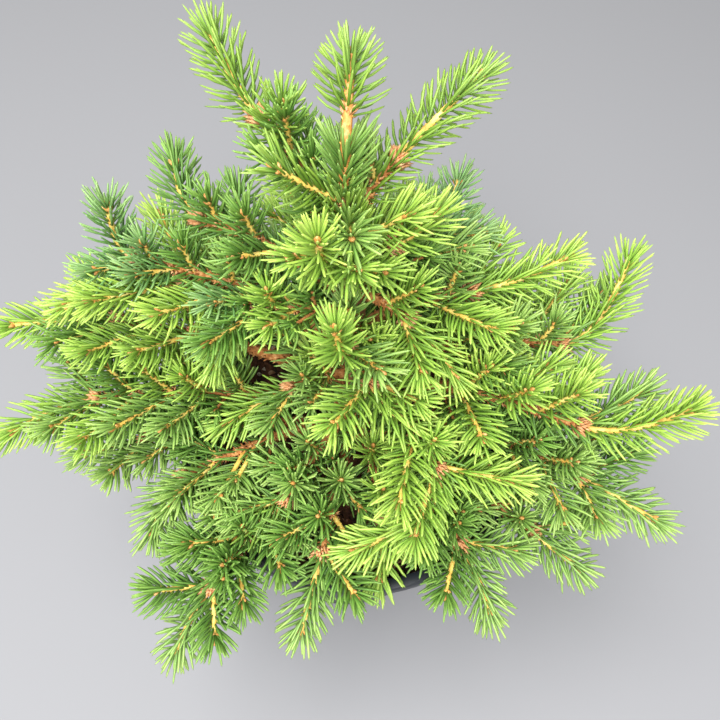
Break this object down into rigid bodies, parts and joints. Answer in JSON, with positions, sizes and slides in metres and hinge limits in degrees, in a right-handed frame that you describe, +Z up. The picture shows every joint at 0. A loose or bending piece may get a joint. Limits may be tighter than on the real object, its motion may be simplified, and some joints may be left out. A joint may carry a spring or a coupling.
{
  "type": "potted conifer",
  "caption": "Young bushy spruce with arching boughs and masses of short needles, standing in soil in a round tapered nursery pot.",
  "frame": {"origin": "middle of the flat underside of the pot", "axes": "+Z up along the pot's axis, -Y towards the side that the picture is taken from"},
  "size_m": [0.2631, 0.2125, 0.2845],
  "materials": {
    "pot_plastic": "black moulded polypropylene with a dull sheen",
    "potting_soil": "dark brown bark-chip potting mix",
    "bark": "rough orange-brown young bark",
    "needles": "waxy yellow-green spruce needles"
  },
  "bodies": {
    "root": {"bough_back_left": "bark", "bough_back_low": "bark", "bough_back_low_left": "bark", "bough_back_low_right": "bark", "bough_back_mid_right": "bark", "bough_front_left_inner": "bark", "bough_front_left_low": "bark", "bough_front_low": "bark", "bough_front_mid": "bark", "bough_front_right_low": "bark", "bough_left": "bark", "bough_left_back": "bark", "bough_left_back_low": "bark", "bough_left_front_low": "bark", "bough_left_long": "bark", "bough_left_lowest": "bark", "bough_left_upper": "bark", "bough_right": "bark", "bough_right_back": "bark", "bough_right_front": "bark", "bough_right_front_low": "bark", "bough_right_upper": "bark", "foliage_back_left": "needles", "foliage_back_left_top": "needles", "foliage_back_low": "needles", "foliage_back_low_left": "needles", "foliage_back_low_right": "needles", "foliage_back_mid_left": "needles", "foliage_back_mid_right": "needles", "foliage_back_right": "needles", "foliage_back_right_top": "needles", "foliage_front_inner": "needles", "foliage_front_left_inner": "needles", "foliage_front_left_low": "needles", "foliage_front_low": "needles", "foliage_front_mid": "needles", "foliage_front_right_low": "needles", "foliage_front_right_mid": "needles", "foliage_front_right_upper": "needles", "foliage_front_upper": "needles", "foliage_leader": "needles", "foliage_left": "needles", "foliage_left_back": "needles", "foliage_left_back_low": "needles", "foliage_left_front_low": "needles", "foliage_left_front_upper": "needles", "foliage_left_inner": "needles", "foliage_left_long": "needles", "foliage_left_lowest": "needles", "foliage_left_upper": "needles", "foliage_right": "needles", "foliage_right_back": "needles", "foliage_right_front": "needles", "foliage_right_front_low": "needles", "foliage_right_upper": "needles", "foliage_top_front": "needles", "foliage_top_right": "needles", "pot": "pot_plastic", "soil": "potting_soil", "trunk": "bark"}
  },
  "joints": []
}
